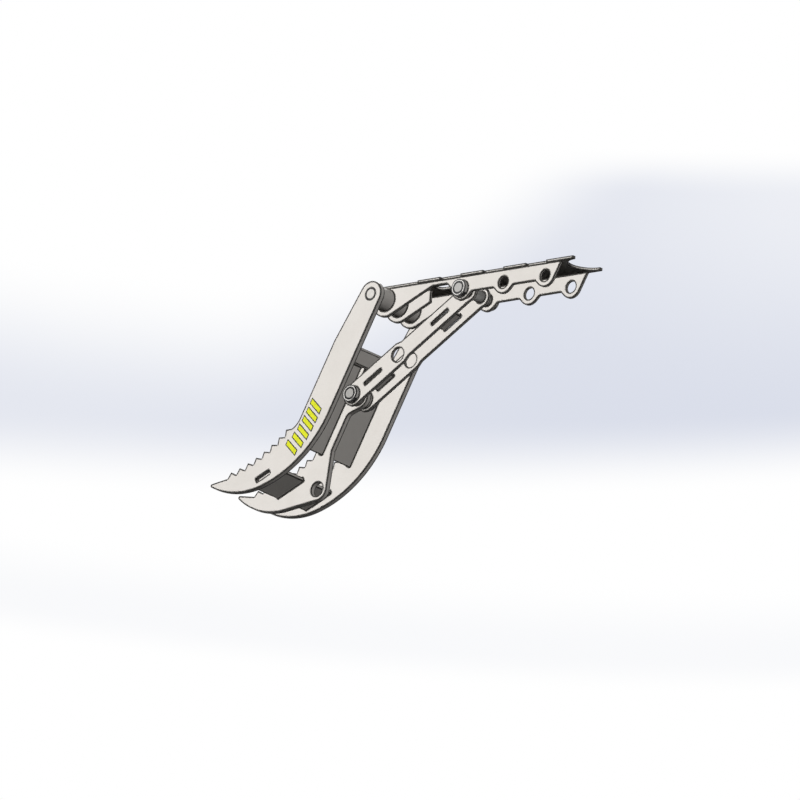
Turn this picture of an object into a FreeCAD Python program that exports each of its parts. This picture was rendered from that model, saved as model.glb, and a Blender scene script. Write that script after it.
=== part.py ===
"""Weld-on mechanical thumb for a small excavator, as separate plates, pins and collars.

A base bracket is welded under the dipper arm. The thumb swings on the main pin at its front. A
strut of two plates runs from a boss on the thumb's middle plate to the first hole of the bracket.

Millimetres. The origin is on the weld face, straight above the main pin. +X runs along the
bracket to its rear end, +Y to the right-hand plates, +Z out of the weld face, into the arm.
"""
import FreeCAD
import Part

import math
import os

# Stock sizes
plate = 12.7                    # plates of the thumb
base_plate = 6.35               # side plates and gusset of the bracket
link_plate = 6.35               # side plates of the strut
thin_plate = 6.35               # weld plate and the strut's cross plates
cross_thick = 9.525             # lower cross plate of the thumb
pin_dia = 25.4
run_gap = 0.1                   # radial gap of a pin that turns or slides in its hole
seat_gap = 0.05                 # radial gap of a pin that is fixed in its hole
side_gap = 0.4                  # gap between faces that turn against each other
slot_gap = 0.25                 # gap round a tab in its slot

# Overall widths
thumb_width = 203.2
base_width = 96.0
link_width = 50.8

# Base bracket, seen from the side, about the main pin
base_rise = 27.0                # from the main pin up to the top of the side plates
lug_radius = 36.7
lug_slope = 24.3                # degrees, of the edge that runs up from the front lug
arch_height = 16.5              # height of the arch behind the lug
arch_rear = 166.0
spar_bottom = -9.0              # lower edge between the bosses
hole_first = 207.6
hole_pitch = 115.0
hole_count = 3
hole_drop = 0.9                 # the link holes lie this far below the main pin
hole_dia = 26.4
boss_radius = 25.4
boss_ramp = 45.0                # degrees
tail_slope = 63.3               # degrees, of the side plates' rear end
gusset_reach = 85.5             # the middle gusset ends here

# Weld plate, seen from above
weld_front = 25.0               # ahead of the main pin
weld_rear = 514.0
weld_overhang = 2.8             # beyond the outer faces of the side plates
tab_first = 86.0
tab_pitch = 118.0
tab_length = 62.0
tab_count = 4
weld_recess = 6.35              # the edge steps in by this between the tabs
fishtail_radius = 42.5
plug_slot_first = 125.0
plug_slot_length = 50.0
plug_slot_width = 25.0
plug_slot_count = 3

# Main pivot
tube_dia = 47.6

# Strut between the thumb and the bracket
link_length = 354.8
link_eye_low = 25.4
link_eye_high = 22.2
link_half_low = 25.4
link_half_high = 20.6
link_step_from = 146.0
link_step_to = 160.0
link_hole_at = 138.1
link_hole_dia = 31.75
link_cross_at = (61.6, 267.7)
link_cross_length = 50.8
link_tab_short = 6.35           # a tab ends this far inside the plate's outer face

# Set collars on the two strut pins
collar_dia = 38.1
collar_width = 11.1
screw_dia = 7.9
screw_sink = 0.5                # the screw's head lies this far below the collar's rim
screw_socket = 4.0              # across the flats
screw_socket_depth = 2.5
screw_turn = -52.0              # degrees, where the screw looks out, seen from the left

# Thumb plates, in the thumb's own frame: along its shank, and out of its back
head_radius = 28.6
shank_inner = 41.0              # the inner edge lies this far from the pin's line
shank_kink = 123.6              # where the inner edge turns towards the head
back_straight = 268.0
back_radius = 270.0
back_turn = 50.0                # degrees of the back's long curve
tip_radius = 189.0
tip_turn = 42.0                 # degrees of the sharper curve at the tip
tip_round = 4.0

# Teeth of the side plates: peaks and valleys on two arcs about one centre
tooth_centre = (214.7, -375.1)
tooth_peak = 335.0
tooth_depth = 11.0
tooth_first = 67.97             # degrees
tooth_step = 4.01
tooth_count = 8
tooth_run_out = 28.0

# The middle plate: its boss for the strut, its back, its eye and its own teeth
boss_at = (213.2, 1.5)
boss_round = 25.4
mid_back = -6.5
mid_back_from = 256.3
mid_back_to = 341.0
mid_waist_round = 16.0
eye_at = (430.0, 0.0)
eye_round = 25.4
eye_dia = 31.75
belly_centre = (361.0, -150.0)
belly_radius = 164.0
belly_end = -16.7               # degrees
mid_inner = -46.0
mid_top = 200.0
mid_tooth_centre = (206.1, -357.1)
mid_tooth_peak = 344.0
mid_tooth_depth = 10.5
mid_tooth_first = 59.3
mid_tooth_step = 3.88
mid_tooth_count = 7
mid_tooth_run_out = 16.0
boss_tube_dia = 38.1

# Cross members of the thumb
stiffener_face = -25.4          # rear face of the two long plates
stiffener_from = 118.0
stiffener_to = 359.5
brace_from = 113.5
brace_to = 153.0
brace_chamfer = 4.5
spreader_at = (451.3, -72.0)
spreader_width = 75.0
spreader_tab = 38.1
spreader_tab_short = 6.35
spreader_slope = 139.9          # degrees from the shank

# Places that follow from the sizes above
pivot_drop = base_rise + thin_plate
weld_width = base_width + 2 * weld_overhang
thumb_out = thumb_width / 2
thumb_in = thumb_out - plate
base_out = base_width / 2
base_in = base_out - base_plate
link_out = link_width / 2
link_in = link_out - link_plate
half_plate = plate / 2
half_gusset = base_plate / 2
pin_radius = pin_dia / 2


def at(x, z):
    """A point of a side view."""
    return FreeCAD.Vector(x, 0, z)


def spot(centre, radius, angle):
    """The point of a circle at an angle in degrees."""
    turn = math.radians(angle)
    return at(centre[0] + radius * math.cos(turn), centre[1] + radius * math.sin(turn))


def angle_of(centre, point):
    """The angle of a point about a centre, in degrees."""
    return math.degrees(math.atan2(point.z - centre[1], point.x - centre[0]))


def tangent_angle(point, centre, radius, side):
    """Where a line from the point touches a circle, as an angle about its centre. Side +1 is left."""
    reach_x, reach_z = centre[0] - point.x, centre[1] - point.z
    reach = math.hypot(reach_x, reach_z)
    return math.degrees(math.atan2(reach_z, reach_x) + side * (math.asin(radius / reach) + math.pi / 2))


def below(angle, limit):
    """The same angle, turned back until it is under the limit."""
    while angle >= limit:
        angle -= 360
    return angle


class Outline:
    """A closed outline of lines and arcs, drawn in a side view."""

    def __init__(self):
        self.edges = []
        self.first = None
        self.last = None

    def to(self, point):
        if self.last is None:
            self.first = point
        elif self.last.distanceToPoint(point) > 1e-6:
            self.edges.append(Part.LineSegment(self.last, point).toShape())
        self.last = point

    def bend(self, corner, after, radius):
        """A line towards a corner, an arc round it, and on towards the next point."""
        back = (self.last - corner).normalize()
        ahead = (after - corner).normalize()
        half = back.getAngle(ahead) / 2
        inward = (back + ahead).normalize()
        self.to(corner + back * (radius / math.tan(half)))
        middle = corner + inward * (radius / math.sin(half) - radius)
        end = corner + ahead * (radius / math.tan(half))
        self.edges.append(Part.Arc(self.last, middle, end).toShape())
        self.last = end

    def arc(self, centre, radius, start, end):
        """An arc about a centre, with a line to where it starts."""
        self.to(spot(centre, radius, start))
        middle = spot(centre, radius, (start + end) / 2)
        self.last = spot(centre, radius, end)
        self.edges.append(Part.Arc(spot(centre, radius, start), middle, self.last).toShape())

    def plate(self, y_from, y_to):
        """The outline as a flat plate between two places across."""
        self.to(self.first)
        face = Part.Face(Part.Wire(self.edges))
        face.translate(FreeCAD.Vector(0, y_from, 0))
        return face.extrude(FreeCAD.Vector(0, y_to - y_from, 0))


def bar(centre, radius, y_from, y_to):
    """A round bar across the thumb."""
    start = FreeCAD.Vector(centre[0], y_from, centre[1])
    return Part.makeCylinder(radius, y_to - y_from, start, FreeCAD.Vector(0, 1, 0))


def strip(centre, slope, length, height, y_from, y_to):
    """A flat bar across the thumb, its section turned by a slope in degrees."""
    corner = FreeCAD.Vector(-length / 2, y_from, -height / 2)
    shape = Part.makeBox(length, y_to - y_from, height, corner)
    shape.rotate(FreeCAD.Vector(0, 0, 0), FreeCAD.Vector(0, 1, 0), -slope)
    shape.translate(at(*centre))
    return shape


def both_sides(shape):
    """A left-hand piece and its mirror image."""
    return shape, shape.mirror(FreeCAD.Vector(0, 0, 0), FreeCAD.Vector(0, 1, 0))


# Where the strut holds the thumb: the triangle of main pin, boss and first hole
boss_reach = math.hypot(*boss_at)
hole_reach = math.hypot(hole_first, hole_drop)
opening = math.acos((boss_reach**2 + hole_reach**2 - link_length**2) / (2 * boss_reach * hole_reach))
boss_bearing = -math.atan2(hole_drop, hole_first) - opening
shank_bearing = boss_bearing - math.atan2(boss_at[1], boss_at[0])
low_pin = (boss_reach * math.cos(boss_bearing), boss_reach * math.sin(boss_bearing))
high_pin = (hole_first, -hole_drop)
link_bearing = math.atan2(high_pin[1] - low_pin[1], high_pin[0] - low_pin[0])


def placed(shape, bearing, centre=(0, 0)):
    """A piece turned from its own frame to its place on the machine."""
    shape.rotate(FreeCAD.Vector(0, 0, 0), FreeCAD.Vector(0, 1, 0), -math.degrees(bearing))
    shape.translate(at(*centre))
    return shape


def link_holes():
    """The holes of one side of the bracket, from front to rear."""
    return [(hole_first + i * hole_pitch, -hole_drop) for i in range(hole_count)]


# Base bracket

def lug_start(outline):
    """The front lug, from the weld plate round to the sloping edge, and up that edge to a height."""
    front = 180 - math.degrees(math.asin(base_rise / lug_radius))
    outline.arc((0, 0), lug_radius, front, 270 + lug_slope)


def slope_x(height):
    """How far back the sloping edge reaches a height."""
    foot = spot((0, 0), lug_radius, 270 + lug_slope)
    return foot.x + (height - foot.z) / math.tan(math.radians(lug_slope))


def base_side_plate():
    outline = Outline()
    lug_start(outline)
    outline.to(at(slope_x(arch_height), arch_height))
    outline.to(at(arch_rear, arch_height))
    holes = link_holes()
    for hole in holes:
        first, last = hole == holes[0], hole == holes[-1]
        ramp_in = spot(hole, boss_radius, 270 - boss_ramp)
        ramp_out = spot(hole, boss_radius, 270 + boss_ramp)
        run = (spar_bottom - ramp_in.z) / math.tan(math.radians(boss_ramp))
        if not first:
            outline.to(at(ramp_in.x - run, spar_bottom))
        start = 180 if first else 270 - boss_ramp
        end = 270 + tail_slope if last else 270 + boss_ramp
        outline.arc(hole, boss_radius, start, end)
        if not last:
            outline.to(at(ramp_out.x + run, spar_bottom))
    foot = spot(holes[-1], boss_radius, 270 + tail_slope)
    rise = base_rise - foot.z
    outline.to(at(foot.x + rise / math.tan(math.radians(tail_slope)), base_rise))
    shape = outline.plate(-base_out, -base_in)
    shape = shape.cut(bar((0, 0), tube_dia / 2, -base_out, -base_in))
    for hole in holes:
        shape = shape.cut(bar(hole, hole_dia / 2, -base_out, -base_in))
    return shape


def base_gusset():
    outline = Outline()
    lug_start(outline)
    foot = spot((0, 0), lug_radius, 270 + lug_slope)
    drop = (gusset_reach - foot.x) * math.tan(math.radians(lug_slope))
    outline.to(at(gusset_reach, foot.z + drop))
    outline.to(at(gusset_reach, base_rise))
    shape = outline.plate(-half_gusset, half_gusset)
    return shape.cut(bar((0, 0), tube_dia / 2, -half_gusset, half_gusset))


def weld_plate():
    edge = weld_width / 2
    size = weld_front + weld_rear, weld_width, thin_plate
    shape = Part.makeBox(*size, FreeCAD.Vector(-weld_front, -edge, base_rise))
    tabs = [tab_first + i * tab_pitch for i in range(tab_count)]
    gaps = zip([-weld_front] + [tab + tab_length for tab in tabs], tabs)
    for gap_from, gap_to in gaps:
        for across in (-edge, edge - weld_recess):
            corner = FreeCAD.Vector(gap_from, across, base_rise)
            shape = shape.cut(Part.makeBox(gap_to - gap_from, weld_recess, thin_plate, corner))
    tail = FreeCAD.Vector(weld_rear, 0, base_rise)
    shape = shape.cut(Part.makeCylinder(fishtail_radius, thin_plate, tail))
    for i in range(plug_slot_count):
        shape = shape.cut(plug_slot(plug_slot_first + i * tab_pitch))
    return shape


def plug_slot(x):
    """The tool for one long hole in the weld plate."""
    round_end = plug_slot_width / 2
    straight = plug_slot_length - plug_slot_width
    corner = FreeCAD.Vector(x - straight / 2, -round_end, base_rise)
    tool = Part.makeBox(straight, plug_slot_width, thin_plate, corner)
    for end in (x - straight / 2, x + straight / 2):
        tool = tool.fuse(Part.makeCylinder(round_end, thin_plate, FreeCAD.Vector(end, 0, base_rise)))
    return tool.removeSplitter()


def bored_tube(centre, dia, half):
    """A thick tube that turns on a pin, between two plates."""
    return bar(centre, dia / 2, -half, half).cut(bar(centre, pin_radius + run_gap, -half, half))


# Thumb, in its own frame: x along the shank, z out of its back

def teeth(outline, centre, peak, depth, first, step, count):
    """A row of saw teeth, drawn from the tip towards the shank."""
    for i in reversed(range(count)):
        outline.to(spot(centre, peak + depth, first - (i + 0.5) * step))
        outline.to(spot(centre, peak, first - i * step))


def run_out(outline, valley, inner, length):
    """The curve from the last tooth's foot to the straight inner edge."""
    outline.to(valley)
    fall = inner - valley.z
    radius = (length**2 + fall**2) / (2 * fall)
    centre = (valley.x - length, inner - radius)
    outline.arc(centre, radius, angle_of(centre, valley), 90)


def tip(outline, centre, radius, end, valley):
    """A rounded point inside a curve's end, and the straight edge from it to the last tooth."""
    middle = spot(centre, radius - tip_round, end)
    middle = (middle.x, middle.z)
    leave = tangent_angle(valley, middle, tip_round, -1)
    outline.arc(middle, tip_round, end, below(leave, end))
    outline.to(valley)


def thumb_side_plate():
    outline = Outline()
    long_centre = (back_straight, head_radius - back_radius)
    sharp = spot(long_centre, back_radius - tip_radius, 90 - back_turn)
    sharp = (sharp.x, sharp.z)
    end = 90 - back_turn - tip_turn
    outline.to(at(0, head_radius))
    outline.arc(long_centre, back_radius, 90, 90 - back_turn)
    outline.arc(sharp, tip_radius, 90 - back_turn, end)
    valley_radius = tooth_peak + tooth_depth
    last = spot(tooth_centre, valley_radius, tooth_first - (tooth_count - 0.5) * tooth_step)
    tip(outline, sharp, tip_radius, end, last)
    teeth(outline, tooth_centre, tooth_peak, tooth_depth, tooth_first, tooth_step, tooth_count)
    root = spot(tooth_centre, valley_radius, tooth_first + 0.5 * tooth_step)
    run_out(outline, root, -shank_inner, tooth_run_out)
    kink = at(shank_kink, -shank_inner)
    outline.to(kink)
    touch = tangent_angle(kink, (0, 0), head_radius, 1)
    outline.arc((0, 0), head_radius, below(touch, 0), -270)
    shape = outline.plate(-thumb_out, -thumb_in)
    shape = shape.cut(bar((0, 0), pin_radius + seat_gap, -thumb_out, -thumb_in))
    return shape.cut(spreader_hole(spreader_tab, -thumb_out, -thumb_in))


def spreader_hole(width, y_from, y_to):
    """The slot that the lower cross plate passes through."""
    gap = 2 * slot_gap
    return strip(spreader_at, spreader_slope, width + gap, cross_thick + gap, y_from, y_to)


def thumb_middle_plate():
    outline = Outline()
    waist = at(mid_back_from, mid_back)
    leave = tangent_angle(waist, boss_at, boss_round, -1)
    outline.to(spot(boss_at, boss_round, leave))
    elbow = at(mid_back_to, mid_back)
    outline.bend(waist, elbow, mid_waist_round)
    outline.to(elbow)
    reach_t, reach_n = belly_centre[0] - eye_at[0], belly_centre[1] - eye_at[1]
    apart = math.hypot(reach_t, reach_n)
    lean = math.acos((eye_round - belly_radius) / apart)
    common = math.degrees(math.atan2(reach_n, reach_t) + lean)
    touch = tangent_angle(elbow, eye_at, eye_round, 1)
    outline.arc(eye_at, eye_round, below(touch, 180), common)
    outline.arc(belly_centre, belly_radius, common, belly_end)
    valley_radius = mid_tooth_peak + mid_tooth_depth
    last_angle = mid_tooth_first - (mid_tooth_count - 0.5) * mid_tooth_step
    last = spot(mid_tooth_centre, valley_radius, last_angle)
    tip(outline, belly_centre, belly_radius, belly_end, last)
    teeth(outline, mid_tooth_centre, mid_tooth_peak, mid_tooth_depth,
          mid_tooth_first, mid_tooth_step, mid_tooth_count)
    root = spot(mid_tooth_centre, valley_radius, mid_tooth_first + 0.5 * mid_tooth_step)
    run_out(outline, root, mid_inner, mid_tooth_run_out)
    top = at(mid_top, mid_inner)
    outline.to(top)
    meet = tangent_angle(top, boss_at, boss_round, 1)
    outline.arc(boss_at, boss_round, below(meet, leave) + 360, leave)
    shape = outline.plate(-half_plate, half_plate)
    shape = shape.cut(bar(boss_at, boss_tube_dia / 2, -half_plate, half_plate))
    shape = shape.cut(bar(eye_at, eye_dia / 2, -half_plate, half_plate))
    return shape.cut(spreader_hole(spreader_width, -half_plate, half_plate))


def spreader():
    """The lower cross plate, wide between the side plates and narrow in their slots."""
    body = strip(spreader_at, spreader_slope, spreader_width, cross_thick, -thumb_in, thumb_in)
    reach = thumb_out - spreader_tab_short
    return body.fuse(
        strip(spreader_at, spreader_slope, spreader_tab, cross_thick, -reach, reach)
    ).removeSplitter()


def brace():
    """The upper cross plate, with its two long edges bevelled."""
    back = stiffener_face + plate
    outline = Outline()
    outline.to(at(brace_from, stiffener_face))
    outline.to(at(brace_from, back - brace_chamfer))
    outline.to(at(brace_from + brace_chamfer, back))
    outline.to(at(brace_to - brace_chamfer, back))
    outline.to(at(brace_to, back - brace_chamfer))
    outline.to(at(brace_to, stiffener_face))
    return outline.plate(-thumb_in, thumb_in)


def stiffener():
    """The long plate between the left side plate and the middle plate."""
    length = stiffener_to - stiffener_from
    corner = FreeCAD.Vector(stiffener_from, -thumb_in, stiffener_face - plate)
    return Part.makeBox(length, thumb_in - half_plate, plate, corner)


# Strut, in its own frame: x from the lower pin to the upper pin

def link_side_plate():
    outline = Outline()
    outline.arc((0, 0), link_eye_low, 270, 90)
    outline.to(at(link_step_from, link_half_low))
    outline.to(at(link_step_to, link_half_high))
    join = math.degrees(math.asin(link_half_high / link_eye_high))
    outline.arc((link_length, 0), link_eye_high, 180 - join, join - 180)
    outline.to(at(link_step_to, -link_half_high))
    outline.to(at(link_step_from, -link_half_low))
    shape = outline.plate(-link_out, -link_in)
    for centre, dia in (((0, 0), pin_dia + 2 * run_gap),
                        ((link_length, 0), pin_dia + 2 * run_gap),
                        ((link_hole_at, 0), link_hole_dia)):
        shape = shape.cut(bar(centre, dia / 2, -link_out, -link_in))
    gap = 2 * slot_gap
    for middle in link_cross_at:
        slot = strip((middle, 0), 0, link_cross_length + gap, thin_plate + gap, -link_out, -link_in)
        shape = shape.cut(slot)
    return shape


def link_cross_plate(middle):
    reach = link_out - link_tab_short
    return strip((middle, 0), 0, link_cross_length, thin_plate, -reach, reach)


# Strut pins with their set collars

def pin(centre, held):
    """A pin through plates whose outer faces lie this far out, with room for a collar at each end."""
    half = held + side_gap + collar_width
    return bar(centre, pin_radius, -half, half)


def screw_axis():
    turn = math.radians(screw_turn)
    return FreeCAD.Vector(math.cos(turn), 0, math.sin(turn))


def collar(centre, held):
    """The left-hand collar: a ring with one tapped hole for its set screw."""
    inner = -(held + side_gap)
    shape = bar(centre, collar_dia / 2, inner - collar_width, inner)
    shape = shape.cut(bar(centre, pin_radius + seat_gap, inner - collar_width, inner))
    middle = FreeCAD.Vector(centre[0], inner - collar_width / 2, centre[1])
    return shape.cut(Part.makeCylinder(screw_dia / 2, collar_dia, middle, screw_axis()))


def set_screw(centre, held):
    """A socket set screw that presses on the pin."""
    middle = FreeCAD.Vector(centre[0], -(held + side_gap + collar_width / 2), centre[1])
    tip_reach = pin_radius + seat_gap
    top_reach = collar_dia / 2 - screw_sink
    along = screw_axis()
    shape = Part.makeCylinder(screw_dia / 2, top_reach - tip_reach, middle + along * tip_reach, along)
    across = FreeCAD.Vector(0, 1, 0)
    side = along.cross(across)
    radius = screw_socket / math.sqrt(3)
    start = middle + along * (top_reach - screw_socket_depth)
    turns = [math.radians(60 * i) for i in range(7)]
    corners = [start + across * (radius * math.cos(turn)) + side * (radius * math.sin(turn)) for turn in turns]
    return shape.cut(Part.Face(Part.makePolygon(corners)).extrude(along * screw_socket_depth))


def build():
    """Every piece by its name, about the main pin."""
    pieces = {"base_weld_plate": weld_plate(), "base_middle_gusset": base_gusset(),
              "base_pivot_tube": bored_tube((0, 0), tube_dia, thumb_in - side_gap),
              "main_pivot_pin": bar((0, 0), pin_radius, -thumb_out, thumb_out)}

    def pair(name, shape):
        pieces[name + "_left"], pieces[name + "_right"] = both_sides(shape)

    pair("base_side_plate", base_side_plate())

    boss_tube = bored_tube(boss_at, boss_tube_dia, link_in - side_gap)
    for name, shape in (("thumb_middle_plate", thumb_middle_plate()),
                        ("thumb_boss_tube", boss_tube),
                        ("thumb_upper_cross_plate", brace()),
                        ("thumb_lower_cross_plate", spreader())):
        pieces[name] = placed(shape, shank_bearing)
    pair("thumb_side_plate", placed(thumb_side_plate(), shank_bearing))
    pair("thumb_long_plate", placed(stiffener(), shank_bearing))

    pair("link_side_plate", placed(link_side_plate(), link_bearing, low_pin))
    for name, middle in zip(("link_cross_plate_lower", "link_cross_plate_upper"), link_cross_at):
        pieces[name] = placed(link_cross_plate(middle), link_bearing, low_pin)

    pieces["lower_link_pin"] = pin(low_pin, link_out)
    pieces["lower_collars"] = Part.makeCompound(both_sides(collar(low_pin, link_out)))
    pieces["lower_set_screws"] = Part.makeCompound(both_sides(set_screw(low_pin, link_out)))
    pieces["upper_link_pin"] = pin(high_pin, base_out)
    pair("upper_collar", collar(high_pin, base_out))
    pair("upper_set_screw", set_screw(high_pin, base_out))
    return pieces


os.makedirs("parts", exist_ok=True)
for node, solid in build().items():
    solid.translate(FreeCAD.Vector(0, 0, -pivot_drop))
    solid.exportStep("parts/" + node + ".step")
    print(node, solid.isValid(), len(solid.Solids), round(solid.Volume / 1000, 2))
print("main pin z", round(-pivot_drop, 3), "thumb shank", round(math.degrees(shank_bearing), 3))
print("lower pin", [round(v, 3) for v in low_pin], "strut", round(math.degrees(link_bearing), 3))
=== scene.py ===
"""Finishes and studio for a weld-on mechanical thumb, laid out as an add-on.

The plates are primed in a warm pale grey and rubbed dark along their edges, with painted shade
in the seams where pieces meet; the pins and collars are turned steel, and the left-hand thumb
plate carries a row of yellow slanted bars.
"""

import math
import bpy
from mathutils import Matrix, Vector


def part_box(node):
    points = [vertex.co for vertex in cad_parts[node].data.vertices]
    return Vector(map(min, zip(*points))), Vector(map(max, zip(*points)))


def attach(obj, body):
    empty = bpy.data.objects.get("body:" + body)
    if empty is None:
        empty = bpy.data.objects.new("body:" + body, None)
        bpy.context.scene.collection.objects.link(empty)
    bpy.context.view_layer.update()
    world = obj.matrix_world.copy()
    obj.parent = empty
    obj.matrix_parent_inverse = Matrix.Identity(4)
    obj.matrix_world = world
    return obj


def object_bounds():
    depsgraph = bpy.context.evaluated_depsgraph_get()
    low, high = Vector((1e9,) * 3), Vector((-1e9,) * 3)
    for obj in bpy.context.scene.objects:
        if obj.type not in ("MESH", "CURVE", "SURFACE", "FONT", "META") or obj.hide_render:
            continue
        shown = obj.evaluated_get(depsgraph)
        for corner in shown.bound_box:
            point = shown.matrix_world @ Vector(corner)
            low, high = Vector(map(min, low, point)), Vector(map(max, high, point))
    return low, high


bl_info = {
    "name": "Excavator thumb",
    "version": (1, 0, 0),
    "blender": (4, 5, 0),
    "location": "3D View > Sidebar > Thumb",
    "description": "Paints and lights a weld-on mechanical thumb for a small excavator",
    "category": "Object",
}

import bmesh
import bpy
from bpy.props import FloatProperty, FloatVectorProperty, IntProperty, PointerProperty
from mathutils import Matrix, Vector

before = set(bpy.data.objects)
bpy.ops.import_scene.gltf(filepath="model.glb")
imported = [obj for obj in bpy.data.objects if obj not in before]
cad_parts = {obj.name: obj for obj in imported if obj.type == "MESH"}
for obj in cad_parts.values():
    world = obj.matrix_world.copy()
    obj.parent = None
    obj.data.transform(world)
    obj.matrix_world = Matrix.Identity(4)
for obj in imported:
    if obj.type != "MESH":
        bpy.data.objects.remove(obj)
cad_low, cad_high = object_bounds()

# Which nodes share a finish
PAINTED = [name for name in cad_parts
           if name.endswith("plate") or "_plate_" in name or "gusset" in name
           or name in ("base_pivot_tube", "thumb_boss_tube")]
PINS = ["main_pivot_pin", "lower_link_pin", "upper_link_pin"]
COLLARS = [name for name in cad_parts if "collar" in name]
SCREWS = [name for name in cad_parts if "screw" in name]

# How far the boss's axis lies off the line down the thumb's shank
BOSS_SET_BACK = 0.0015

# How far the bars lie in front of that line
BARS_SET_FORWARD = 0.013

# Rubbed edges, and painted shade in the seams between pieces: reach of the bevel and of the
# occlusion, as multiples of the band's width
BEVEL_REACH = 3.3
SEAM_SHADE_REACH = 2.2
# Turn of the normal, and share of open air, between which the rubbed band and the painted shade
# set in
EDGE_TURN = (0.010, 0.022)
SEAM_SHADE_AIR = (0.86, 0.76)
# Chips in the rubbed band and the painted shade: their fineness, and where the noise breaks the
# band
CHIP_SCALE = 420.0
CHIP_NOISE = (0.28, 0.46)
CHIP_FLOOR = 0.86

# The lamps far away: the way to each from the thumb, and its breadth in degrees
KEY_WAY = (0.235, -0.965, 0.012)
KEY_BREADTH = 2
BACK_WAY = (-0.45, 0.80, 0.40)
BACK_BREADTH = 25
SIDE_WAY = (-0.35, 0.93, 0.10)
SIDE_BREADTH = 10
# The lamp overhead
OVERHEAD_SIZE = 1.8
OVERHEAD_HEIGHT = 1.6

# The floor: its tone and glow where it is seen, and what it reflects on the object
FLOOR_TONE = 0.92
FLOOR_GLOW = 0.70
FLOOR_REFLECTED = (0.02, 0.02, 0.02)

# The backdrop reaches as far over the frame's origin as the floor lies under it, and this more
WALL_EXTRA = 1.5

# The haze on the backdrop, in heights and in distances to the right of the origin
HAZE_LEAN = -0.13
HAZE_FOOT = (0.198, 0.378)
HAZE_HEAD = (0.63, 0.97)
HAZE_TOP = (1.23, 1.34)
# It widens upwards from here, by the square of the distance times this
HAZE_WIDENS = 2.15
HAZE_CURVE = 1.75
# It deepens over this distance, between these shares
HAZE_DEEPENS = (1.9, 2.75)
HAZE_DEPTH = (0.66, 0.9)
# Its far upper part thins over this distance and these heights, between these shares
HAZE_THINS = (2.62, 2.95)
HAZE_THIN_HEIGHTS = (0.72, 1.25)
HAZE_THIN = (0.22, 0.48)
# The fainter line under it
FAINT_HEAD = (0.36, 0.21)
FAINT_FOOT = (0.11, 0.19)
FAINT_DEPTH = 0.16


def middle(node):
    """The middle of a node's box."""
    low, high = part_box(node)
    return (low + high) / 2


def along_thumb():
    """The thumb's own axes at rest: down its shank and out of its back, from its main pin."""
    pin = middle("main_pivot_pin")
    boss = middle("thumb_boss_tube")
    reach = Vector((boss.x - pin.x, 0, boss.z - pin.z))
    lean = math.asin(BOSS_SET_BACK / reach.length)
    shank = Matrix.Rotation(lean, 3, "Y") @ reach.normalized()
    return pin, shank, Vector((-shank.z, 0, shank.x))


class ThumbPaintSettings(bpy.types.PropertyGroup):
    """The primer on the plates, how far their edges are rubbed, and the painted shade in their
    seams.
    """
    colour: FloatVectorProperty(
        name="Primer", description="Colour of the primed plates", subtype="COLOR",
        size=3, min=0, max=1, default=(0.768, 0.734, 0.693))
    dust: FloatVectorProperty(
        name="Dust", description="Colour of the faint patches in the primer", subtype="COLOR",
        size=3, min=0, max=1, default=(0.640, 0.606, 0.560))
    # This near-black also paints shade into the seams between pieces
    rubbed: FloatVectorProperty(
        name="Rubbed edge", description="Colour of the steel where the primer has rubbed off",
        subtype="COLOR", size=3, min=0, max=1, default=(0.016, 0.015, 0.013))
    # The width also sets how far the painted shade reaches into the seams, and the amount scales
    # it
    rub_and_shade_width: FloatProperty(
        name="Rub width", description="How far from an edge the primer is rubbed",
        subtype="DISTANCE", unit="LENGTH", min=0.0005, max=0.02, default=0.0023)
    rub_and_shade_amount: FloatProperty(
        name="Rub amount", description="How much of the rubbed band shows steel",
        subtype="FACTOR", min=0, max=1, default=0.96)
    cut_share: FloatProperty(
        name="On cut edges", description="Share of the rub's width on the plates' cut edges",
        subtype="FACTOR", min=0.1, max=1, default=0.8)
    grain_size: FloatProperty(
        name="Grain", description="Size of the primer's sprayed grain",
        subtype="DISTANCE", unit="LENGTH", min=0.0002, max=0.01, default=0.0016)
    patch_size: FloatProperty(
        name="Patches", description="Size of the dusty patches",
        subtype="DISTANCE", unit="LENGTH", min=0.005, max=0.5, default=0.06)
    cut_pitch: FloatProperty(
        name="Cut lines", description="Spacing of the fine lines that the cutting torch left",
        subtype="DISTANCE", unit="LENGTH", min=0.0003, max=0.01, default=0.0012)


class ThumbSteelSettings(bpy.types.PropertyGroup):
    """Turned pins and collars, and the black screws."""
    pin: FloatVectorProperty(
        name="Strut pin", description="Colour of the two strut pins", subtype="COLOR",
        size=3, min=0, max=1, default=(0.495, 0.484, 0.462))
    main_pin: FloatVectorProperty(
        name="Main pin", description="Colour of the main pin", subtype="COLOR",
        size=3, min=0, max=1, default=(0.740, 0.710, 0.670))
    collar: FloatVectorProperty(
        name="Collar", description="Colour of the set collars", subtype="COLOR",
        size=3, min=0, max=1, default=(0.900, 0.875, 0.835))
    screw: FloatVectorProperty(
        name="Screw", description="Colour of the blackened set screws", subtype="COLOR",
        size=3, min=0, max=1, default=(0.020, 0.020, 0.021))
    turning: FloatProperty(
        name="Turning", description="Spacing of the lathe's rings",
        subtype="DISTANCE", unit="LENGTH", min=0.0002, max=0.005, default=0.0009)
    # Each width also sets how far painted shade reaches into the seams round the pin or collar
    pin_rim_and_shade: FloatProperty(
        name="Pin rim", description="Width of the dark oil line along a pin's edges",
        subtype="DISTANCE", unit="LENGTH", min=0.0002, max=0.01, default=0.0017)
    collar_rim_and_shade: FloatProperty(
        name="Collar rim", description="Width of the dark oil line along a collar's edges",
        subtype="DISTANCE", unit="LENGTH", min=0.0002, max=0.01, default=0.0018)


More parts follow.
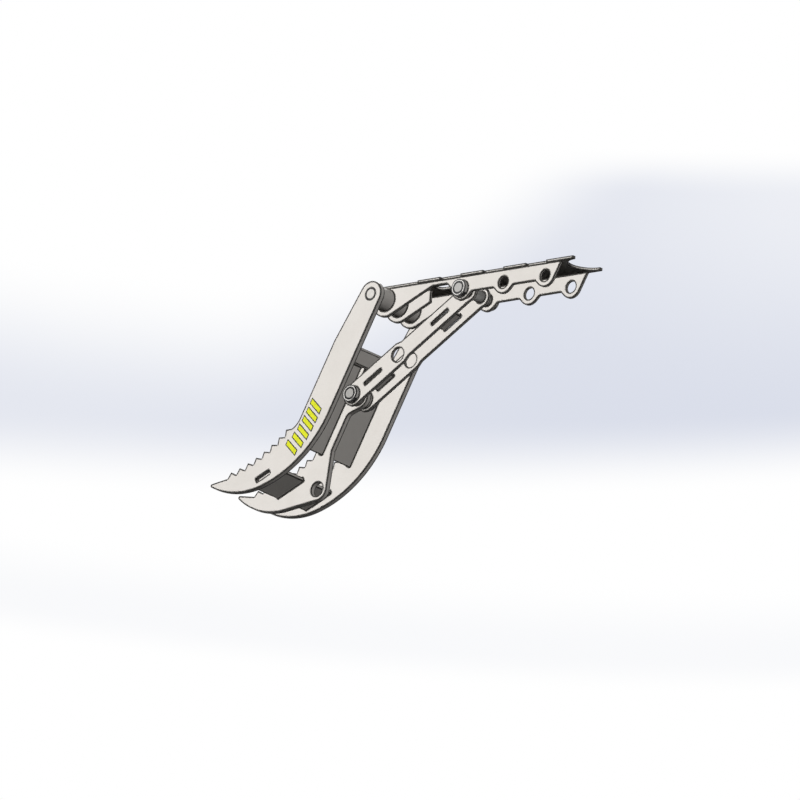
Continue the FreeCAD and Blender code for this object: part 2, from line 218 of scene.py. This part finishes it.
class ThumbMarkSettings(bpy.types.PropertyGroup):
    """The row of slanted bars on the left-hand thumb plate."""
    colour: FloatVectorProperty(
        name="Bars", description="Colour of the bars", subtype="COLOR",
        size=3, min=0, max=1, default=(0.760, 0.790, 0.018))
    count: IntProperty(
        name="Count", description="How many bars", min=1, max=12, default=6)
    start: FloatProperty(
        name="Start", description="Distance of the first bar from the main pin",
        subtype="DISTANCE", unit="LENGTH", default=0.268)
    pitch: FloatProperty(
        name="Pitch", description="From one bar to the next",
        subtype="DISTANCE", unit="LENGTH", default=0.0205)
    height: FloatProperty(
        name="Height", description="Height of a bar across the plate",
        subtype="DISTANCE", unit="LENGTH", default=0.034)
    width: FloatProperty(
        name="Width", description="Width of a bar along the plate",
        subtype="DISTANCE", unit="LENGTH", default=0.0095)
    slant: FloatProperty(
        name="Slant", description="How far a bar leans along the plate",
        subtype="DISTANCE", unit="LENGTH", default=0.012)
    rim: FloatProperty(
        name="Rim", description="Width of the dark line round each bar",
        subtype="DISTANCE", unit="LENGTH", default=0.0022)
    sweep: FloatProperty(
        name="Sweep", description="How far the last bars follow the thumb's curve",
        subtype="DISTANCE", unit="LENGTH", default=0.016)
    proud: FloatProperty(
        name="Thickness", description="Thickness of the paint film",
        subtype="DISTANCE", unit="LENGTH", default=0.0003)


class ThumbStudioSettings(bpy.types.PropertyGroup):
    """The camera, the lamps and the backdrop."""
    azimuth: FloatProperty(
        name="Azimuth", description="Direction of the camera round the thumb, in degrees",
        default=39.95)
    elevation: FloatProperty(
        name="Elevation", description="Height of the camera over the horizon, in degrees",
        default=-17.07)
    roll: FloatProperty(
        name="Roll", description="Turn of the camera about its own line of sight, in degrees",
        default=4.60)
    view_width: FloatProperty(
        name="View width", description="Width of what the camera sees",
        subtype="DISTANCE", unit="LENGTH", default=1.7167)
    aim_right: FloatProperty(
        name="Aim right", description="Picture's middle, to the right of the frame's origin",
        subtype="DISTANCE", unit="LENGTH", default=-0.0025)
    aim_up: FloatProperty(
        name="Aim up", description="Picture's middle, above the frame's origin",
        subtype="DISTANCE", unit="LENGTH", default=-0.2318)
    camera_distance: FloatProperty(
        name="Distance", description="From the camera to the thumb",
        subtype="DISTANCE", unit="LENGTH", default=1.6)
    key: FloatProperty(
        name="Key lamp", description="Strength of the lamp that faces the plates",
        min=0, default=3.25)
    back_lamp: FloatProperty(
        name="Back lamp", description="Strength of the lamp on the far side", min=0, default=2.4)
    side_lamp: FloatProperty(
        name="Side lamp", description="Strength of the lamp that softens the far side's shadows",
        min=0, default=0.6)
    fill: FloatProperty(
        name="Overhead lamp", description="Power of the soft lamp overhead",
        subtype="POWER", unit="POWER", min=0, default=4.0)
    ambient: FloatProperty(
        name="Ambient", description="Strength of the light from all round", min=0, default=0.006)
    floor_drop: FloatProperty(
        name="Floor", description="Depth of the floor under the frame's origin",
        subtype="DISTANCE", unit="LENGTH", default=1.75)
    wall_radius: FloatProperty(
        name="Wall", description="Distance of the backdrop all round",
        subtype="DISTANCE", unit="LENGTH", default=3.2)
    pale: FloatVectorProperty(
        name="Backdrop", description="Colour of the backdrop", subtype="COLOR",
        size=3, min=0, max=1, default=(1.0, 1.0, 1.0))
    haze: FloatVectorProperty(
        name="Haze", description="Colour of the backdrop's soft band", subtype="COLOR",
        size=3, min=0, max=1, default=(0.670, 0.703, 0.805))


# Shader node helpers

def link(tree, value, socket):
    """A value or another node's output, into a socket."""
    if isinstance(value, bpy.types.NodeSocket):
        tree.links.new(value, socket)
    elif hasattr(value, "__len__") and len(socket.default_value) == 4 and len(value) == 3:
        socket.default_value = (*value, 1)
    else:
        socket.default_value = value


def add(tree, kind, inputs=None, **settings):
    """A node with its settings made and its inputs filled."""
    node = tree.nodes.new(kind)
    for key, value in settings.items():
        setattr(node, key, value)
    for key, value in (inputs or {}).items():
        link(tree, value, node.inputs[key])
    return node


def maths(tree, operation, first, second=0.0, third=0.0):
    """One step of arithmetic."""
    node = add(tree, "ShaderNodeMath", {0: first, 1: second, 2: third}, operation=operation)
    return node.outputs[0]


def vector_maths(tree, operation, first, second=(0, 0, 0)):
    """One step of vector arithmetic."""
    node = add(tree, "ShaderNodeVectorMath", {0: first, 1: second}, operation=operation)
    return node.outputs["Value"] if operation in ("DOT_PRODUCT", "LENGTH") else node.outputs[0]


def ramp(tree, value, low, high, out_low=0.0, out_high=1.0):
    """A smooth step between two values."""
    inputs = {"Value": value, "From Min": low, "From Max": high,
              "To Min": out_low, "To Max": out_high}
    node = add(tree, "ShaderNodeMapRange", inputs, interpolation_type="SMOOTHSTEP")
    return node.outputs[0]


def mix(tree, share, first, second):
    """Two colours mixed, with a share of the second."""
    node = add(tree, "ShaderNodeMix", data_type="RGBA")
    link(tree, share, node.inputs[0])
    link(tree, first, node.inputs[6])
    link(tree, second, node.inputs[7])
    return node.outputs[2]


def group(name, inputs, outputs):
    """An empty shader group with named sockets, and its two end nodes."""
    tree = bpy.data.node_groups.new(name, "ShaderNodeTree")
    for key, kind, value in inputs:
        socket = tree.interface.new_socket(key, in_out="INPUT", socket_type=kind)
        socket.default_value = value
    for key, kind in outputs:
        tree.interface.new_socket(key, in_out="OUTPUT", socket_type=kind)
    return tree, tree.nodes.new("NodeGroupInput"), tree.nodes.new("NodeGroupOutput")


def use(tree, shared, **inputs):
    """A shared group placed in a material, with its own values."""
    node = tree.nodes.new("ShaderNodeGroup")
    node.node_tree = shared
    for key, value in inputs.items():
        link(tree, value, node.inputs[key])
    return node


def place(tree):
    """Where a point lies on its object, in metres."""
    return add(tree, "ShaderNodeTexCoord").outputs["Object"]


# Shared effects

def edge_rub_and_seam_shade_group():
    """A mask, 1 along the edges and, as painted shade, in the seams between pieces, within a
    width.
    """
    tree, start, end = group(
        "Edge rub and painted seam shade",
        [("Width", "NodeSocketFloat", 0.003), ("Amount", "NodeSocketFloat", 1.0)],
        [("Mask", "NodeSocketFloat")])
    surface = add(tree, "ShaderNodeNewGeometry").outputs["Normal"]
    radius = maths(tree, "MULTIPLY", start.outputs["Width"], BEVEL_REACH)
    rounded = add(tree, "ShaderNodeBevel", {"Radius": radius}, samples=16)
    turn = vector_maths(tree, "DOT_PRODUCT", rounded.outputs[0], surface)
    edge = ramp(tree, maths(tree, "SUBTRACT", 1.0, turn), *EDGE_TURN)
    reach = maths(tree, "MULTIPLY", start.outputs["Width"], SEAM_SHADE_REACH)
    # Painted shade: the seams between pieces darken where occlusion closes them in
    open_air = add(tree, "ShaderNodeAmbientOcclusion", {"Distance": reach}, samples=16)
    seam_shade = ramp(tree, open_air.outputs["AO"], *SEAM_SHADE_AIR)
    chips = add(tree, "ShaderNodeTexNoise",
                {"Vector": place(tree), "Scale": CHIP_SCALE, "Detail": 3.0})
    broken = ramp(tree, chips.outputs[0], *CHIP_NOISE, CHIP_FLOOR, 1.0)
    shown = maths(tree, "MULTIPLY", maths(tree, "MAXIMUM", edge, seam_shade), broken)
    link(tree, maths(tree, "MULTIPLY", shown, start.outputs["Amount"]), end.inputs["Mask"])
    return tree


def primer_group():
    """The sprayed primer's patches of dust and its fine grain."""
    tree, start, end = group(
        "Primer grain",
        [("Grain", "NodeSocketFloat", 0.002), ("Patches", "NodeSocketFloat", 0.06)],
        [("Tone", "NodeSocketFloat"), ("Height", "NodeSocketFloat")])
    where = place(tree)
    patch_scale = maths(tree, "DIVIDE", 1.0, start.outputs["Patches"])
    grain_scale = maths(tree, "DIVIDE", 1.0, start.outputs["Grain"])
    speck_scale = maths(tree, "MULTIPLY", grain_scale, 0.35)
    patches = add(tree, "ShaderNodeTexNoise",
                  {"Vector": where, "Scale": patch_scale, "Detail": 5.0, "Roughness": 0.62})
    specks = add(tree, "ShaderNodeTexNoise",
                 {"Vector": where, "Scale": speck_scale, "Detail": 4.0})
    grain = add(tree, "ShaderNodeTexNoise",
                {"Vector": where, "Scale": grain_scale, "Detail": 2.0})
    soft = ramp(tree, patches.outputs[0], 0.35, 0.72)
    fine = ramp(tree, specks.outputs[0], 0.45, 0.75)
    tone = maths(tree, "MULTIPLY_ADD", fine, 0.30, maths(tree, "MULTIPLY", soft, 0.55))
    link(tree, tone, end.inputs["Tone"])
    link(tree, grain.outputs[0], end.inputs["Height"])
    return tree


def torch_cut_group():
    """Fine lines across a plate's cut edge, which faces along the plate and never across it."""
    tree, start, end = group(
        "Torch cut", [("Pitch", "NodeSocketFloat", 0.001)],
        [("Mask", "NodeSocketFloat"), ("Height", "NodeSocketFloat")])
    across = vector_maths(
        tree, "DOT_PRODUCT", add(tree, "ShaderNodeNewGeometry").outputs["True Normal"], (0, 1, 0))
    mask = ramp(tree, maths(tree, "ABSOLUTE", across), 0.4, 0.2)
    scale = maths(tree, "DIVIDE", 1.0, start.outputs["Pitch"])
    stretched = vector_maths(tree, "MULTIPLY", place(tree), (1.0, 0.12, 1.0))
    lines = add(tree, "ShaderNodeTexNoise", {"Vector": stretched, "Scale": scale, "Detail": 2.0})
    link(tree, mask, end.inputs["Mask"])
    link(tree, maths(tree, "MULTIPLY", lines.outputs[0], mask), end.inputs["Height"])
    return tree


def turned_group():
    """The lathe's rings round a pin's axis, on its ends and along its length."""
    tree, start, end = group(
        "Turned rings",
        [("Axis", "NodeSocketVector", (0, 0, 0)), ("Pitch", "NodeSocketFloat", 0.001)],
        [("Tone", "NodeSocketFloat"), ("Height", "NodeSocketFloat")])
    where = vector_maths(tree, "SUBTRACT", place(tree), start.outputs["Axis"])
    flat = vector_maths(tree, "MULTIPLY", where, (1, 0, 1))
    radius = vector_maths(tree, "LENGTH", flat)
    along = add(tree, "ShaderNodeSeparateXYZ", {0: where}).outputs["Y"]
    facing = vector_maths(
        tree, "DOT_PRODUCT", add(tree, "ShaderNodeNewGeometry").outputs["True Normal"], (0, 1, 0))
    on_end = ramp(tree, maths(tree, "ABSOLUTE", facing), 0.3, 0.7)
    run = add(tree, "ShaderNodeMix", {0: on_end, 2: along, 3: radius}, data_type="FLOAT")
    turns = maths(tree, "DIVIDE", run.outputs[0], start.outputs["Pitch"])
    rings = maths(tree, "SINE", maths(tree, "MULTIPLY", turns, math.tau))
    drift = add(tree, "ShaderNodeTexNoise", {"Vector": where, "Scale": 160.0, "Detail": 3.0})
    height = maths(tree, "MULTIPLY_ADD", rings, 0.5, drift.outputs[0])
    link(tree, ramp(tree, drift.outputs[0], 0.3, 0.75), end.inputs["Tone"])
    link(tree, height, end.inputs["Height"])
    return tree


def shared(name, build):
    """A shared group, built once."""
    return bpy.data.node_groups.get(name) or build()


def new_material(name):
    """A material with its shader alone."""
    material = bpy.data.materials.new(name)
    material.use_nodes = True
    tree = material.node_tree
    tree.nodes.clear()
    shader = tree.nodes.new("ShaderNodeBsdfPrincipled")
    output = tree.nodes.new("ShaderNodeOutputMaterial")
    tree.links.new(shader.outputs[0], output.inputs["Surface"])
    return material, tree, shader


def bump(tree, height, strength, distance):
    """Normals that follow a fine relief."""
    inputs = {"Height": height, "Strength": strength, "Distance": distance}
    node = add(tree, "ShaderNodeBump", inputs)
    return node.outputs["Normal"]


def primer_material(paint):
    """Pale primer with dusty patches, torch-cut edges, rubbed corners and painted shade in the
    seams.
    """
    material, tree, shader = new_material("warm grey primer")
    primer = use(tree, shared("Primer grain", primer_group),
                 Grain=paint.grain_size, Patches=paint.patch_size)
    cut = use(tree, shared("Torch cut", torch_cut_group), Pitch=paint.cut_pitch)
    narrower = (paint.cut_share - 1) * paint.rub_and_shade_width
    width = maths(tree, "MULTIPLY_ADD", cut.outputs["Mask"], narrower, paint.rub_and_shade_width)
    rub_and_seam_shade = use(tree, shared("Edge rub and painted seam shade", edge_rub_and_seam_shade_group), Width=width, Amount=paint.rub_and_shade_amount)
    dusty = maths(tree, "MULTIPLY", primer.outputs["Tone"], 0.42)
    painted = mix(tree, dusty, tuple(paint.colour), tuple(paint.dust))
    # Near-black along the edges, and painted shade in the seams between pieces
    link(tree, mix(tree, rub_and_seam_shade.outputs["Mask"], painted, tuple(paint.rubbed)),
         shader.inputs["Base Color"])
    rough = maths(tree, "MULTIPLY_ADD", primer.outputs["Tone"], 0.16, 0.56)
    link(tree, rough, shader.inputs["Roughness"])
    height = maths(tree, "MULTIPLY_ADD", cut.outputs["Height"], 1.4, primer.outputs["Height"])
    link(tree, bump(tree, height, 0.16, 0.0004), shader.inputs["Normal"])
    shader.inputs["Specular IOR Level"].default_value = 0.08
    return material


def turned_material(name, colour, axis, steel, rim):
    """Turned steel about an axis, with a dark oil line along its edges and painted shade in its
    seams.
    """
    material, tree, shader = new_material(name)
    turned = use(tree, shared("Turned rings", turned_group), Axis=axis, Pitch=steel.turning)
    rub_and_seam_shade = use(tree, shared("Edge rub and painted seam shade", edge_rub_and_seam_shade_group), Width=rim, Amount=1.0)
    dull = tuple(0.78 * part for part in colour)
    metal = mix(tree, maths(tree, "MULTIPLY", turned.outputs["Tone"], 0.5), tuple(colour), dull)
    # The screws' black paints the oil line and the shade in the seams
    link(tree, mix(tree, rub_and_seam_shade.outputs["Mask"], metal, tuple(steel.screw)),
         shader.inputs["Base Color"])
    rough = maths(tree, "MULTIPLY_ADD", turned.outputs["Tone"], 0.14, 0.40)
    link(tree, rough, shader.inputs["Roughness"])
    link(tree, bump(tree, turned.outputs["Height"], 0.12, 0.0002), shader.inputs["Normal"])
    shader.inputs["Metallic"].default_value = 0.1
    return material


def blackened_material(steel):
    """Black oxide on the set screws, greyed by handling."""
    material, tree, shader = new_material("black oxide")
    wear = add(tree, "ShaderNodeTexNoise", {"Vector": place(tree), "Scale": 900.0, "Detail": 4.0})
    grey = tuple(part + 0.05 for part in steel.screw)
    link(tree, mix(tree, ramp(tree, wear.outputs[0], 0.5, 0.8), tuple(steel.screw), grey),
         shader.inputs["Base Color"])
    link(tree, ramp(tree, wear.outputs[0], 0.3, 0.8, 0.45, 0.65), shader.inputs["Roughness"])
    shader.inputs["Metallic"].default_value = 0.6
    return material


def bar_material(name, colour):
    """Stencilled paint, thinner towards its edges."""
    material, tree, shader = new_material(name)
    film = add(tree, "ShaderNodeTexNoise", {"Vector": place(tree), "Scale": 260.0, "Detail": 4.0})
    thin = tuple(0.82 * part for part in colour)
    link(tree, mix(tree, ramp(tree, film.outputs[0], 0.42, 0.75), tuple(colour), thin),
         shader.inputs["Base Color"])
    link(tree, ramp(tree, film.outputs[0], 0.3, 0.8, 0.38, 0.55), shader.inputs["Roughness"])
    link(tree, bump(tree, film.outputs[0], 0.1, 0.0002), shader.inputs["Normal"])
    return material


def finish_nodes(names, material):
    """One finish for several of the frame's nodes."""
    for name in names:
        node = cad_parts[name]
        node.data.materials.clear()
        node.data.materials.append(material)


def mesh_data(name, mesh):
    """The file's own mesh, from one that was built up."""
    data = bpy.data.meshes.new(name)
    mesh.to_mesh(data)
    mesh.free()
    return data


# Slanted bars

def prism(mesh, outline, low, depth):
    """A flat piece with an outline of points, thickened along a vector."""
    bottom = [mesh.verts.new(point + low) for point in outline]
    top = [mesh.verts.new(point + low + depth) for point in outline]
    mesh.faces.new(list(reversed(bottom)))
    mesh.faces.new(top)
    for i, point in enumerate(bottom):
        j = (i + 1) % len(bottom)
        mesh.faces.new((point, bottom[j], top[j], top[i]))


def bar_outline(centre, shank, back, mark, grow):
    """The four corners of one slanted bar."""
    half_height = mark.height / 2 + grow
    half_width = mark.width / 2 + grow
    lean = mark.slant / 2 * half_height / (mark.height / 2)
    corners = ((-1, -1), (1, -1), (1, 1), (-1, 1))
    return [centre + shank * (side * half_width + end * lean) + back * (end * half_height)
            for side, end in corners]


def bar_row(name, mark, grow, thickness, material):
    """A row of slanted bars on the outer face of the left-hand thumb plate."""
    pin, shank, back = along_thumb()
    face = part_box("thumb_side_plate_left")[0].y
    mesh = bmesh.new()
    for i in range(mark.count):
        share = i / max(1, mark.count - 1)
        offset = -BARS_SET_FORWARD - mark.sweep * share ** 3
        centre = pin + shank * (mark.start + i * mark.pitch) + back * offset
        centre.y = face
        outline = bar_outline(centre, shank, back, mark, grow)
        prism(mesh, outline, Vector((0, 0, 0)), Vector((0, -thickness, 0)))
    bmesh.ops.recalc_face_normals(mesh, faces=mesh.faces)
    data = mesh_data(name, mesh)
    piece = bpy.data.objects.new(name, data)
    bpy.context.scene.collection.objects.link(piece)
    data.materials.append(material)
    return piece


# Operators

class THUMB_OT_camera(bpy.types.Operator):
    """Stand the camera where the thumb is seen from below and behind its left side"""
    bl_idname = "thumb.camera"
    bl_label = "Camera"

    def execute(self, context):
        studio = context.scene.thumb_studio
        azimuth, elevation = math.radians(studio.azimuth), math.radians(studio.elevation)
        back = Vector((math.sin(azimuth) * math.cos(elevation),
                       -math.cos(azimuth) * math.cos(elevation), math.sin(elevation)))
        turn = (-back).to_track_quat("-Z", "Y").to_matrix()
        turn = turn @ Matrix.Rotation(math.radians(studio.roll), 3, "Z")
        right, up = turn.col[0], turn.col[1]
        data = bpy.data.cameras.new("camera")
        data.type = "ORTHO"
        data.ortho_scale = studio.view_width
        data.clip_end = 20
        camera = bpy.data.objects.new("camera", data)
        camera.rotation_mode = "QUATERNION"
        camera.rotation_quaternion = turn.to_quaternion()
        camera.location = (right * studio.aim_right + up * studio.aim_up
                           + back * studio.camera_distance)
        context.scene.collection.objects.link(camera)
        context.scene.camera = camera
        return {"FINISHED"}


class THUMB_OT_plates(bpy.types.Operator):
    """Prime the plates and tubes, darken their rubbed edges and paint shade into their seams"""
    bl_idname = "thumb.plates"
    bl_label = "Primed plates"

    def execute(self, context):
        finish_nodes(PAINTED, primer_material(context.scene.thumb_paint))
        return {"FINISHED"}


class THUMB_OT_pins(bpy.types.Operator):
    """Finish the pins as turned steel"""
    bl_idname = "thumb.pins"
    bl_label = "Pins"

    def execute(self, context):
        steel = context.scene.thumb_steel
        for name in PINS:
            colour = steel.main_pin if name.startswith("main") else steel.pin
            label = "turned " + name.replace("_", " ")
            material = turned_material(label, colour, middle(name), steel, steel.pin_rim_and_shade)
            finish_nodes([name], material)
        return {"FINISHED"}


class THUMB_OT_collars(bpy.types.Operator):
    """Finish the set collars and their screws"""
    bl_idname = "thumb.collars"
    bl_label = "Set collars"

    def execute(self, context):
        steel = context.scene.thumb_steel
        for end in ("lower", "upper"):
            names = [name for name in COLLARS if name.startswith(end)]
            axis = middle(end + "_link_pin")
            label = end + " set collar"
            material = turned_material(label, steel.collar, axis, steel, steel.collar_rim_and_shade)
            finish_nodes(names, material)
        finish_nodes(SCREWS, blackened_material(steel))
        return {"FINISHED"}


class THUMB_OT_bars(bpy.types.Operator):
    """Stencil the yellow bars on the left-hand thumb plate"""
    bl_idname = "thumb.bars"
    bl_label = "Yellow bars"

    def execute(self, context):
        mark = context.scene.thumb_mark
        dark = bar_material("bar outline black", (0.012, 0.012, 0.010))
        yellow = bar_material("signal yellow", mark.colour)
        for piece in (bar_row("bar_outlines", mark, mark.rim, mark.proud, dark),
                      bar_row("yellow_bars", mark, 0.0, 2 * mark.proud, yellow)):
            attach(piece, "thumb")
        return {"FINISHED"}


class THUMB_OT_studio(bpy.types.Operator):
    """Set up the floor, the backdrop and the lamps"""
    bl_idname = "thumb.studio"
    bl_label = "Studio"

    def execute(self, context):
        studio = context.scene.thumb_studio
        context.scene.view_settings.view_transform = "Standard"
        make_floor(studio)
        make_wall(studio)
        make_lamps(studio)
        make_world(context, studio)
        return {"FINISHED"}


def seen_directly(tree):
    """1 where a camera, glossy or transmission ray asks, and 0 for the light on the object."""
    path = add(tree, "ShaderNodeLightPath").outputs
    glossy = maths(tree, "MAXIMUM", path["Is Camera Ray"], path["Is Glossy Ray"])
    return maths(tree, "MAXIMUM", glossy, path["Is Transmission Ray"])


def stage_object(name, data, material):
    """A piece of the studio."""
    piece = bpy.data.objects.new(name, data)
    bpy.context.scene.collection.objects.link(piece)
    data.materials.append(material)
    return piece


def make_floor(studio):
    """A round pale floor that keeps the thumb's shadow and sends next to no light up."""
    mesh = bmesh.new()
    bmesh.ops.create_circle(mesh, cap_ends=True, segments=96, radius=studio.wall_radius)
    data = mesh_data("floor", mesh)
    material, tree, shader = new_material("pale floor")
    pale = tuple(FLOOR_TONE * part for part in studio.pale)
    seen = seen_directly(tree)
    link(tree, mix(tree, seen, FLOOR_REFLECTED, pale), shader.inputs["Base Color"])
    link(tree, pale, shader.inputs["Emission Color"])
    link(tree, maths(tree, "MULTIPLY", seen, FLOOR_GLOW), shader.inputs["Emission Strength"])
    shader.inputs["Roughness"].default_value = 0.9
    shader.inputs["Specular IOR Level"].default_value = 0.1
    floor = stage_object("floor", data, material)
    floor.location.z = -studio.floor_drop


def haze_mask(tree):
    """A soft band low on the backdrop that widens upwards to one side, over a fainter line."""
    spot = add(tree, "ShaderNodeSeparateXYZ", {0: place(tree)}).outputs
    lean = maths(tree, "MULTIPLY_ADD", spot["Y"], HAZE_LEAN, spot["Z"])
    rise = ramp(tree, lean, *HAZE_FOOT)
    past = maths(tree, "MAXIMUM", maths(tree, "SUBTRACT", spot["Y"], HAZE_WIDENS), 0.0)
    lift = maths(tree, "MULTIPLY", maths(tree, "MULTIPLY", past, past), HAZE_CURVE)
    fall = ramp(tree, maths(tree, "SUBTRACT", spot["Z"], lift), *HAZE_HEAD, 1.0, 0.0)
    top = ramp(tree, spot["Z"], *HAZE_TOP, 1.0, 0.0)
    band = maths(tree, "MULTIPLY", maths(tree, "MULTIPLY", rise, fall), top)
    depth = ramp(tree, spot["Y"], *HAZE_DEEPENS, *HAZE_DEPTH)
    thin = maths(tree, "MULTIPLY", ramp(tree, spot["Y"], *HAZE_THINS, *HAZE_THIN),
                 ramp(tree, spot["Z"], *HAZE_THIN_HEIGHTS))
    depth = maths(tree, "MULTIPLY", depth, maths(tree, "SUBTRACT", 1.0, thin))
    band = maths(tree, "MULTIPLY", band, depth)
    faint = maths(tree, "MULTIPLY", ramp(tree, spot["Z"], *FAINT_HEAD),
                  ramp(tree, spot["Z"], *FAINT_FOOT))
    return maths(tree, "MULTIPLY_ADD", faint, FAINT_DEPTH, band)


def make_wall(studio):
    """A backdrop all round, white with a soft band of haze."""
    mesh = bmesh.new()
    rings = []
    for height in (0.0, 2.0 * studio.floor_drop + WALL_EXTRA):
        ring = bmesh.ops.create_circle(mesh, segments=96, radius=studio.wall_radius)["verts"]
        bmesh.ops.translate(mesh, verts=ring, vec=(0, 0, height - studio.floor_drop))
        rings.append([edge for edge in mesh.edges if all(vert in ring for vert in edge.verts)])
    bmesh.ops.bridge_loops(mesh, edges=rings[0] + rings[1])
    data = mesh_data("backdrop", mesh)
    material = bpy.data.materials.new("hazy backdrop")
    material.use_nodes = True
    tree = material.node_tree
    tree.nodes.clear()
    colour = mix(tree, haze_mask(tree), tuple(studio.pale), tuple(studio.haze))
    glow = add(tree, "ShaderNodeEmission", {"Color": colour, "Strength": seen_directly(tree)})
    output = tree.nodes.new("ShaderNodeOutputMaterial")
    tree.links.new(glow.outputs[0], output.inputs["Surface"])
    wall = stage_object("backdrop", data, material)
    wall.visible_shadow = False


def sun(name, strength, angle, toward, shadow=True):
    """A broad lamp far away in one direction, whose light isn't passed on between surfaces."""
    data = bpy.data.lights.new(name, "SUN")
    data.energy = strength
    data.angle = math.radians(angle)
    data.use_shadow = shadow
    data.cycles.max_bounces = 0
    lamp = bpy.data.objects.new(name, data)
    lamp.rotation_mode = "QUATERNION"
    lamp.rotation_quaternion = (-Vector(toward)).to_track_quat("-Z", "Y")
    bpy.context.scene.collection.objects.link(lamp)


def make_lamps(studio):
    """A key lamp on the plates' left sides, two lamps on the far side and a soft one overhead."""
    sun("key lamp", studio.key, KEY_BREADTH, KEY_WAY, shadow=False)
    sun("back lamp", studio.back_lamp, BACK_BREADTH, BACK_WAY)
    sun("side lamp", studio.side_lamp, SIDE_BREADTH, SIDE_WAY, shadow=False)
    data = bpy.data.lights.new("overhead lamp", "AREA")
    data.shape = "DISK"
    data.size = OVERHEAD_SIZE
    data.energy = studio.fill
    overhead = bpy.data.objects.new("overhead lamp", data)
    overhead.location = (cad_low.x / 2 + cad_high.x / 2, 0, OVERHEAD_HEIGHT)
    bpy.context.scene.collection.objects.link(overhead)


def make_world(context, studio):
    """White where it is seen, and a little light from all round on the object."""
    world = bpy.data.worlds.new("studio")
    world.use_nodes = True
    tree = world.node_tree
    tree.nodes.clear()
    seen = seen_directly(tree)
    strength = maths(tree, "MULTIPLY_ADD", seen, 1 - studio.ambient, studio.ambient)
    glow = add(tree, "ShaderNodeBackground", {"Color": tuple(studio.pale), "Strength": strength})
    output = tree.nodes.new("ShaderNodeOutputWorld")
    tree.links.new(glow.outputs[0], output.inputs["Surface"])
    context.scene.world = world


class THUMB_PT_panel(bpy.types.Panel):
    """The steps and their settings, in the sidebar"""
    bl_idname = "THUMB_PT_panel"
    bl_label = "Excavator thumb"
    bl_space_type = "VIEW_3D"
    bl_region_type = "UI"
    bl_category = "Thumb"

    def draw(self, context):
        layout = self.layout
        for step in STEPS:
            layout.operator(step.bl_idname)
        for name in SETTINGS:
            settings = getattr(context.scene, name)
            box = layout.box()
            for key in settings.bl_rna.properties.keys():
                if key not in ("name", "rna_type"):
                    box.prop(settings, key)


STEPS = (THUMB_OT_camera, THUMB_OT_plates, THUMB_OT_pins, THUMB_OT_collars, THUMB_OT_bars,
         THUMB_OT_studio)
SETTINGS = {"thumb_paint": ThumbPaintSettings, "thumb_steel": ThumbSteelSettings,
            "thumb_mark": ThumbMarkSettings, "thumb_studio": ThumbStudioSettings}


def register():
    for name, settings in SETTINGS.items():
        bpy.utils.register_class(settings)
        setattr(bpy.types.Scene, name, PointerProperty(type=settings))
    for step in STEPS:
        bpy.utils.register_class(step)
    bpy.utils.register_class(THUMB_PT_panel)


def unregister():
    bpy.utils.unregister_class(THUMB_PT_panel)
    for step in reversed(STEPS):
        bpy.utils.unregister_class(step)
    for name, settings in reversed(SETTINGS.items()):
        delattr(bpy.types.Scene, name)
        bpy.utils.unregister_class(settings)


def main():
    register()
    bpy.ops.thumb.camera()
    bpy.ops.thumb.plates()
    bpy.ops.thumb.pins()
    bpy.ops.thumb.collars()
    bpy.ops.thumb.bars()
    bpy.ops.thumb.studio()


if __name__ == "__main__":
    main()
